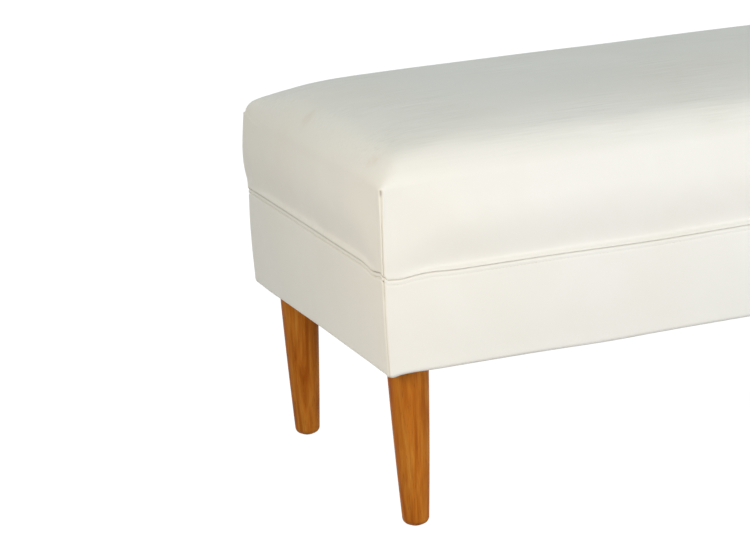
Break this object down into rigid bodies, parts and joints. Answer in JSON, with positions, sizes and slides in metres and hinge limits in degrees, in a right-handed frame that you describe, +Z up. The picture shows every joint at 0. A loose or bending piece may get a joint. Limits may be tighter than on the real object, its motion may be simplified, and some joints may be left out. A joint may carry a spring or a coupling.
{
  "type": "upholstered bench",
  "caption": "Long backless bench with a crowned, sewn cushion top over a flat upholstered band, on short round tapered wooden legs.",
  "frame": {"origin": "on the floor, below the centre of the seat", "axes": "+X along the bench, +Z up, the front faces -Y"},
  "size_m": [1.2, 0.45, 0.44],
  "materials": {
    "upholstery": "smooth coated off-white upholstery cloth, soft satin sheen",
    "varnished_leg_wood": "honey-brown satin varnish over fine straight grain",
    "fibre_wadding": "white polyester fibre",
    "seat_foam": "pale yellow open-cell foam",
    "plywood": "raw birch plywood",
    "frame_timber": "raw pine",
    "plated_steel": "zinc plated",
    "black_cloth": "thin black non-woven cloth",
    "glide_plastic": "dark brown plastic"
  },
  "bodies": {
    "root": {"seat_cover": "upholstery", "band_front": "upholstery", "band_back": "upholstery", "band_left": "upholstery", "band_right": "upholstery", "wadding_layer": "fibre_wadding", "foam_block": "seat_foam", "side_padding": "seat_foam", "deck_board": "plywood", "front_rail": "frame_timber", "back_rail": "frame_timber", "left_end_rail": "frame_timber", "right_end_rail": "frame_timber", "cross_rail_left": "frame_timber", "cross_rail_middle": "frame_timber", "cross_rail_right": "frame_timber", "t_nuts": "plated_steel", "hanger_bolts": "plated_steel", "frame_screws": "plated_steel", "block_screws": "plated_steel", "deck_screws": "plated_steel", "cover_staples": "plated_steel", "dust_cover_staples": "plated_steel", "dust_cover": "black_cloth", "leg_glides": "glide_plastic", "corner_block_front_left": "frame_timber", "leg_front_left": "varnished_leg_wood", "corner_block_front_right": "frame_timber", "leg_front_right": "varnished_leg_wood", "corner_block_back_left": "frame_timber", "leg_back_left": "varnished_leg_wood", "corner_block_back_right": "frame_timber", "leg_back_right": "varnished_leg_wood"}
  },
  "joints": []
}
